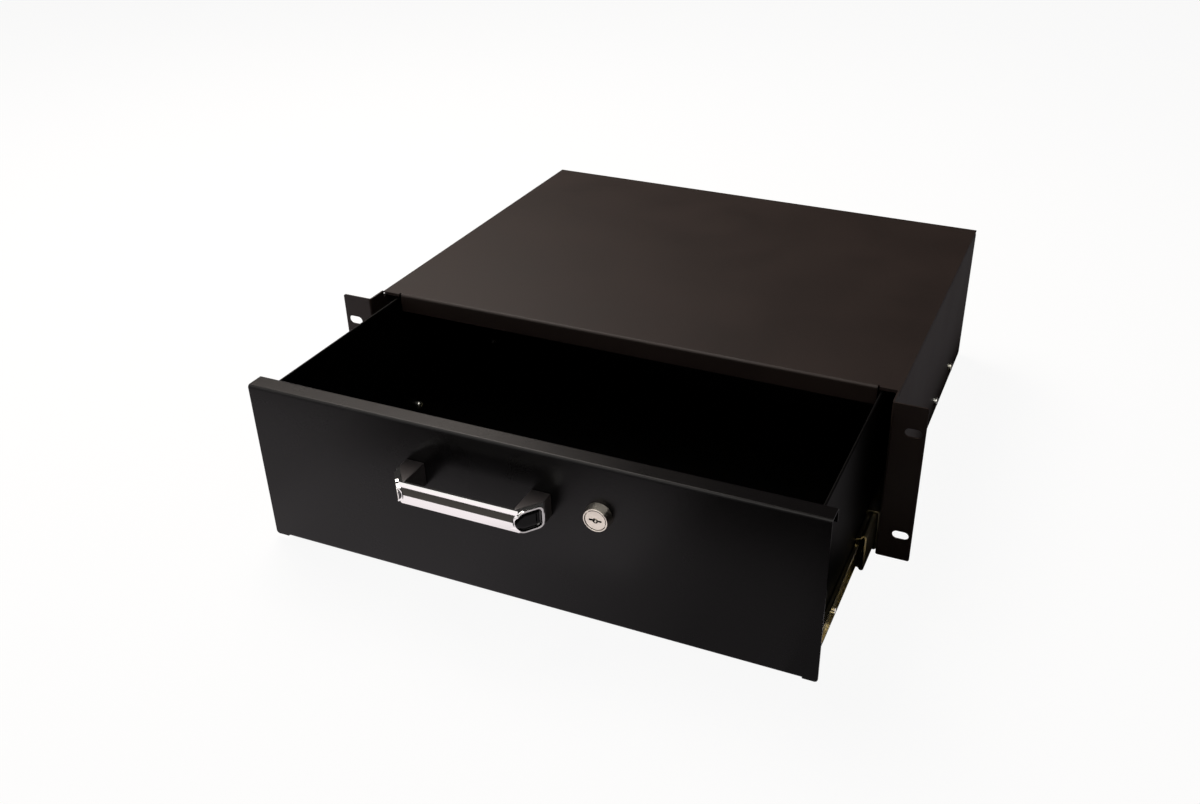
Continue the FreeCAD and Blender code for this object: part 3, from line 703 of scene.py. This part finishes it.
class RACKDRAWER_OT_handle(bpy.types.Operator):
    """Models the chromed band and its plastic legs"""

    bl_idname = "rackdrawer.handle"
    bl_label = "Handle"

    def execute(self, context):
        sizes, finishes = settings()
        band = model_band(sizes)
        show(band, "handle_grip", "drawer")
        chrome = Finish("band_chrome", metallic=1.0, roughness=0.06)
        chrome.set("Base Color", finishes.chrome)
        give(chrome.material, band.name)
        leg = model_leg(sizes)
        twin = mirrored(leg, "left_leg_moulding", middle("handle_grip").x)
        show(leg, "right_handle_leg", "drawer")
        show(twin, "left_handle_leg", "drawer")
        return {"FINISHED"}


# ---- Lock -----------------------------------------------------------------------------
RECESS_DEPTH = 2.0 * MM
BARREL_RADIUS = 8.0 * MM
PLUG_CLEARANCE = 0.1 * MM
DISC_THICKNESS = 1.6 * MM
DISC_OVERHANG = 0.9 * MM
SHANK_START = 26.4 * MM
SHANK_INSET = 3.6 * MM
KEYWAY_HALF_WIDTH = 4.6 * MM
KEYWAY_HALF_HEIGHT = 0.75 * MM
KEYWAY_DEPTH = 5.0 * MM
BORE_RADIUS = 2.0 * MM
BORE_DEPTH = 4.0 * MM
BORE_DROP = 0.2 * MM
PIN_RADIUS = 0.8 * MM
PIN_DROP = 0.95 * MM
PIN_SETBACK = 0.25 * MM


def turned_bar(name, front, back, radius):
    """Round bar along Y at the lock's axis, as the start of a turned piece."""
    deselect()
    axis = middle("lock_plug")
    bpy.ops.mesh.primitive_cylinder_add(
        vertices=128, radius=radius, depth=back - front,
        location=(axis.x, (front + back) / 2, axis.z), rotation=(math.pi / 2, 0, 0))
    piece = start_piece(name)
    settle(piece)
    return piece


def step_back(piece, from_y, inset, length):
    """Insets the rear face at a depth and draws it out to a thinner shank."""
    pick_faces(piece, lambda centre, direction: abs(centre.y - from_y) < 1e-5
               and direction.y > 0.9)
    bpy.ops.mesh.inset(thickness=inset)
    bpy.ops.mesh.extrude_region_move(TRANSFORM_OT_translate={"value": (0, length, 0)})
    done()


def face_plate(colour):
    """Nickel plate of the plug, with a fine cast speckle."""
    plate = Finish("lock_nickel_plate", metallic=1.0)
    speck = plate.noise(2200, 2)
    cloud = plate.noise(350, 2)
    plate.set("Base Color", plate.blend(cloud, colour, shade(colour, 0.88)))
    plate.set("Roughness", 0.30 + speck * 0.16)
    plate.bump(speck, FACE_SPECKLE)
    return plate.material


def drum_plate(colour):
    """Nickel plate of the collar and the nut, with darker flecks."""
    plate = Finish("lock_drum_plate", metallic=1.0)
    fleck = plate.noise(1500, 2)
    plate.set("Base Color", plate.blend(fleck, shade(colour, 0.75), colour))
    plate.set("Roughness", 0.24 + fleck * 0.12)
    plate.bump(fleck, DRUM_FLECK)
    return plate.material


def model_collar(sizes, plug_radius):
    """Collar: a drum that tapers to its face, with a recess round the plug and a barrel."""
    axis = middle("lock_plug")
    foot_radius = size("lock_body").x / 2
    collar = turned_bar("lock_collar", lock_low.y, panel_front, foot_radius)
    pick_faces(collar, lambda centre, direction: direction.y < -0.9)
    bpy.ops.transform.resize(value=(sizes.collar_taper, 1, sizes.collar_taper),
                             center_override=(axis.x, lock_low.y, axis.z))
    rim = foot_radius * sizes.collar_taper - plug_radius - sizes.plug_gap
    bpy.ops.mesh.inset(thickness=rim)
    bpy.ops.mesh.extrude_region_move(
        TRANSFORM_OT_translate={"value": (0, RECESS_DEPTH, 0)})
    done()
    step_back(collar, panel_front, foot_radius - BARREL_RADIUS, lock_high.y - panel_front)
    round_edges(collar, 0.2 * MM, 40, 3)
    smooth(collar, 35)
    return collar


def paint_keyway_shade(plug, plug_radius):
    """Puts painted shade, a near-black material, inside the keyway and bore and on the rim of the
    plug's disc, where the recesses and the gap round the plug lie in shade.
    """
    axis = middle("lock_plug")
    dark = dull("keyway_painted_shade", 900, (0.006, 0.005, 0.005), (0.016, 0.013, 0.011), 0.6)
    plug.data.materials.append(dark.material)

    def inside(centre, direction):
        depth = centre.y - plug_low.y
        from_axis = math.hypot(centre.x - axis.x, centre.z - axis.z)
        on_disc = KEYWAY_HALF_WIDTH + 0.2 * MM < from_axis < plug_radius - 0.1 * MM
        return 0.12 * MM < depth < KEYWAY_DEPTH + 0.1 * MM and not on_disc

    pick_faces(plug, inside)
    plug.active_material_index = 1
    bpy.ops.object.material_slot_assign()
    done()


def model_plug(plug_radius, nickel):
    """Plug: a disc, a barrel and a shank, with a keyway, a bore and a pin in the bore."""
    axis = middle("lock_plug")
    face = plug_low.y
    plug = turned_bar("lock_plug_disc", face, face + DISC_THICKNESS, plug_radius)
    step_back(plug, face + DISC_THICKNESS, DISC_OVERHANG, SHANK_START - DISC_THICKNESS)
    step_back(plug, face + SHANK_START, SHANK_INSET, plug_high.y - face - SHANK_START)
    take_out(plug, add_box(
        "keyway",
        (axis.x - KEYWAY_HALF_WIDTH, face - 1 * MM, axis.z - KEYWAY_HALF_HEIGHT),
        (axis.x + KEYWAY_HALF_WIDTH, face + KEYWAY_DEPTH, axis.z + KEYWAY_HALF_HEIGHT)))
    bore = turned_bar("key_bore", face - 1 * MM, face + BORE_DEPTH, BORE_RADIUS)
    move(bore, (0, 0, -BORE_DROP))
    take_out(plug, bore)
    round_edges(plug, 0.12 * MM, 40, 2)
    give(nickel, plug.name)
    # Painted shade in the keyway, the bore and the gap round the disc
    paint_keyway_shade(plug, plug_radius)
    pin = turned_bar("key_pin", face + PIN_SETBACK, face + BORE_DEPTH + 0.5 * MM, PIN_RADIUS)
    move(pin, (0, 0, -PIN_DROP))
    round_edges(pin, 0.3 * MM, 40, 3)
    give(nickel, pin.name)
    join(plug, pin)
    smooth(plug, 35)
    return plug


class RACKDRAWER_OT_lock(bpy.types.Operator):
    """Models the lock's collar and its plug with the keyway"""

    bl_idname = "rackdrawer.lock"
    bl_label = "Lock"

    def execute(self, context):
        sizes, finishes = settings()
        plug_radius = size("lock_plug").x / 2 - PLUG_CLEARANCE
        collar = model_collar(sizes, plug_radius)
        plug = model_plug(plug_radius, face_plate(finishes.nickel))
        show(collar, "lock_body", "drawer")
        show(plug, "lock_plug", "lock_rotor")
        give(drum_plate(finishes.nickel), collar.name, "lock_nut")
        return {"FINISHED"}


# ---- Studio ---------------------------------------------------------------------------
CAMERA_PLACE = (0.33381, -0.71429, 0.47679)
CAMERA_AZIMUTH = math.radians(21.25)
CAMERA_ELEVATION = math.radians(30.469)
CAMERA_ROLL = math.radians(0.711)
CAMERA_LENS = 35.16
CAMERA_SHIFT = (-0.06668, 0.00448)

TABLE_WIDTH = 12.0
TABLE_WHITE = (0.14, 0.137, 0.134)
# Table colour to glossy rays in the painted shadow beside the drawer
TABLE_SHADED = (0.02, 0.02, 0.02)
# Colour of the painted reflections that the table glows with to glossy rays
TABLE_GLOW = (1.0, 0.93, 0.96)
TABLE_SEEN = (0.93, 0.93, 0.93)

ROOM_LIGHT = (0.05, 0.048, 0.046)
ROOM_MIRRORED = (0.032, 0.032, 0.032)
LOW_WALL_MIRRORED = (1.0, 0.97, 0.96)
SOFT_BOX_MIRRORED = (2.2, 2.15, 2.05)

LAMP_WIDTH = 0.8
# Name, place, power in watts and colour of each lamp
LAMPS = (("top_lamp", (-0.58, 0.34, 1.22), 8.4, (1.0, 0.93, 0.88)),
         ("back_lamp", (-1.0, 0.9, 1.2), 4.6, (1.0, 0.90, 0.82)))


def table_glow(white):
    """Painted reflections: how brightly each zone of the table glows to glossy rays alone, which
    only bright and glossy pieces mirror: pale before and beside the part, with a dark band across
    it.
    The glow lights nothing and shows to no other ray; it paints highlights into the glossy and
    bright pieces.
    Limits are in metres from the frame's origin."""
    x, y = white.along("X"), white.along("Y")
    left = (x < -0.25) * (y > -0.36)
    near = between(y, -0.284, -0.15) * (1 - left) * (x < 0.19)
    near_level = 0.90 - white.clamp(x, -0.06, 0.12) * 0.50
    far = (y < -0.72) * (x < 0.02)
    beside = (x > 0.24) * (y > 0.0)
    before_lock = between(x, -0.035, 0.055) * between(y, -0.33, -0.21)
    before_corner = between(x, 0.19, 0.235) * between(y, -0.25, -0.15)
    below_slide = between(x, 0.2085, 0.225) * between(y, -0.15, -0.065)
    broad = near * near_level + far + left * 0.78 + beside * 0.22
    return broad + before_lock * 1.2 + before_corner * 0.32 + below_slide


def make_camera():
    """Camera at the height of a standing person's eyes over a table, to the front right."""
    data = bpy.data.cameras.new("studio_camera")
    data.sensor_width = 36
    data.lens = CAMERA_LENS
    data.shift_x, data.shift_y = CAMERA_SHIFT
    data.clip_start = 0.01
    data.dof.use_dof = False
    camera = bpy.data.objects.new("studio_camera", data)
    bpy.context.scene.collection.objects.link(camera)
    level = math.cos(CAMERA_ELEVATION)
    ahead = Vector((-math.sin(CAMERA_AZIMUTH) * level, math.cos(CAMERA_AZIMUTH) * level,
                    -math.sin(CAMERA_ELEVATION)))
    right = Vector((math.cos(CAMERA_AZIMUTH), math.sin(CAMERA_AZIMUTH), 0))
    up = right.cross(ahead)
    turned_right = right * math.cos(CAMERA_ROLL) + up * math.sin(CAMERA_ROLL)
    turned_up = up * math.cos(CAMERA_ROLL) - right * math.sin(CAMERA_ROLL)
    axes = Matrix((turned_right, turned_up, -ahead)).transposed()
    camera.location = CAMERA_PLACE
    camera.rotation_euler = axes.to_euler()
    bpy.context.scene.camera = camera


def add_lamp(name, place, power, colour):
    """Square lamp that points at the origin."""
    data = bpy.data.lights.new(name, "AREA")
    data.size = LAMP_WIDTH
    data.energy = power
    data.color = colour
    lamp = bpy.data.objects.new(name, data)
    bpy.context.scene.collection.objects.link(lamp)
    lamp.location = place
    lamp.rotation_euler = (-Vector(place)).to_track_quat("-Z", "Y").to_euler()


def white_table():
    """White to the camera, grey to the lamps, and zoned to glossy rays."""
    white = Finish("table_white", roughness=0.9)
    white.set("Specular IOR Level", 0.0)
    glossy = white.ray_is("Glossy")
    # Painted shadow: to glossy rays the table turns near black beside the drawer's right side,
    # where the drawer would shade it
    shaded = glossy * (white.along("X") > 0.2) * (white.along("Y") > -0.14)
    white.set("Base Color", white.blend(shaded, TABLE_WHITE, TABLE_SHADED))
    # Painted reflections: the table glows in zones to glossy rays only
    glow = white.blend(glossy * table_glow(white), (0, 0, 0), TABLE_GLOW)
    white.set("Emission Color", white.blend(white.ray_is("Camera"), glow, TABLE_SEEN))
    white.set("Emission Strength", 1.0)
    return white.material


def light_room(world):
    """White to the camera, dim to matt pieces, with a low wall and a soft box mirrored."""
    room = Room(world)
    x, y, z = (room.towards(axis) for axis in "XYZ")
    low_wall = room.clamp(0.5 - z, 0.0, 0.15) * (y < 0.0) * (x < -0.3)
    soft_box = room.clamp(z, 0.52, 0.60) * (y < -0.12)
    mirrored = room.blend(low_wall, ROOM_MIRRORED, LOW_WALL_MIRRORED)
    mirrored = room.blend(soft_box, mirrored, SOFT_BOX_MIRRORED)
    light = room.blend(room.ray_is("Glossy"), ROOM_LIGHT, mirrored)
    room.set("Color", room.blend(room.ray_is("Camera"), light, (1, 1, 1)))


class RACKDRAWER_OT_stage(bpy.types.Operator):
    """Sets up the white table, the backdrop, the lamps and the camera"""

    bl_idname = "rackdrawer.stage"
    bl_label = "Stage"

    def execute(self, context):
        deselect()
        bpy.ops.mesh.primitive_plane_add(size=TABLE_WIDTH, location=(0, 0, table_height))
        table = start_piece("table_top")
        settle(table)
        give(white_table(), table.name)
        context.scene.world = bpy.data.worlds.new("studio_world")
        light_room(context.scene.world)
        for lamp in LAMPS:
            add_lamp(*lamp)
        make_camera()
        return {"FINISHED"}


# ---- Add-on ---------------------------------------------------------------------------
class RACKDRAWER_PT_panel(bpy.types.Panel):
    """Lists the steps that finish the rack drawer"""

    bl_idname = "RACKDRAWER_PT_panel"
    bl_label = "Rack Drawer"
    bl_space_type = "VIEW_3D"
    bl_region_type = "UI"
    bl_category = "Rack Drawer"

    def draw(self, context):
        for name in RackDrawerSizes.__annotations__:
            self.layout.prop(context.scene.rack_drawer_sizes, name)
        for name in RackDrawerFinishes.__annotations__:
            self.layout.prop(context.scene.rack_drawer_finishes, name)
        for step in STEPS:
            self.layout.operator(step.bl_idname)


STEPS = (
    RACKDRAWER_OT_case,
    RACKDRAWER_OT_drawer,
    RACKDRAWER_OT_slides,
    RACKDRAWER_OT_handle,
    RACKDRAWER_OT_lock,
    RACKDRAWER_OT_stage,
)
CLASSES = (RackDrawerSizes, RackDrawerFinishes) + STEPS + (RACKDRAWER_PT_panel,)


def register():
    for item in CLASSES:
        bpy.utils.register_class(item)
    bpy.types.Scene.rack_drawer_sizes = bpy.props.PointerProperty(type=RackDrawerSizes)
    bpy.types.Scene.rack_drawer_finishes = bpy.props.PointerProperty(type=RackDrawerFinishes)


def unregister():
    del bpy.types.Scene.rack_drawer_finishes
    del bpy.types.Scene.rack_drawer_sizes
    for item in reversed(CLASSES):
        bpy.utils.unregister_class(item)


def main():
    register()
    bpy.context.scene.view_settings.view_transform = "Standard"
    bpy.ops.rackdrawer.case()
    bpy.ops.rackdrawer.drawer()
    bpy.ops.rackdrawer.slides()
    bpy.ops.rackdrawer.handle()
    bpy.ops.rackdrawer.lock()
    bpy.ops.rackdrawer.stage()


if __name__ == "__main__":
    main()
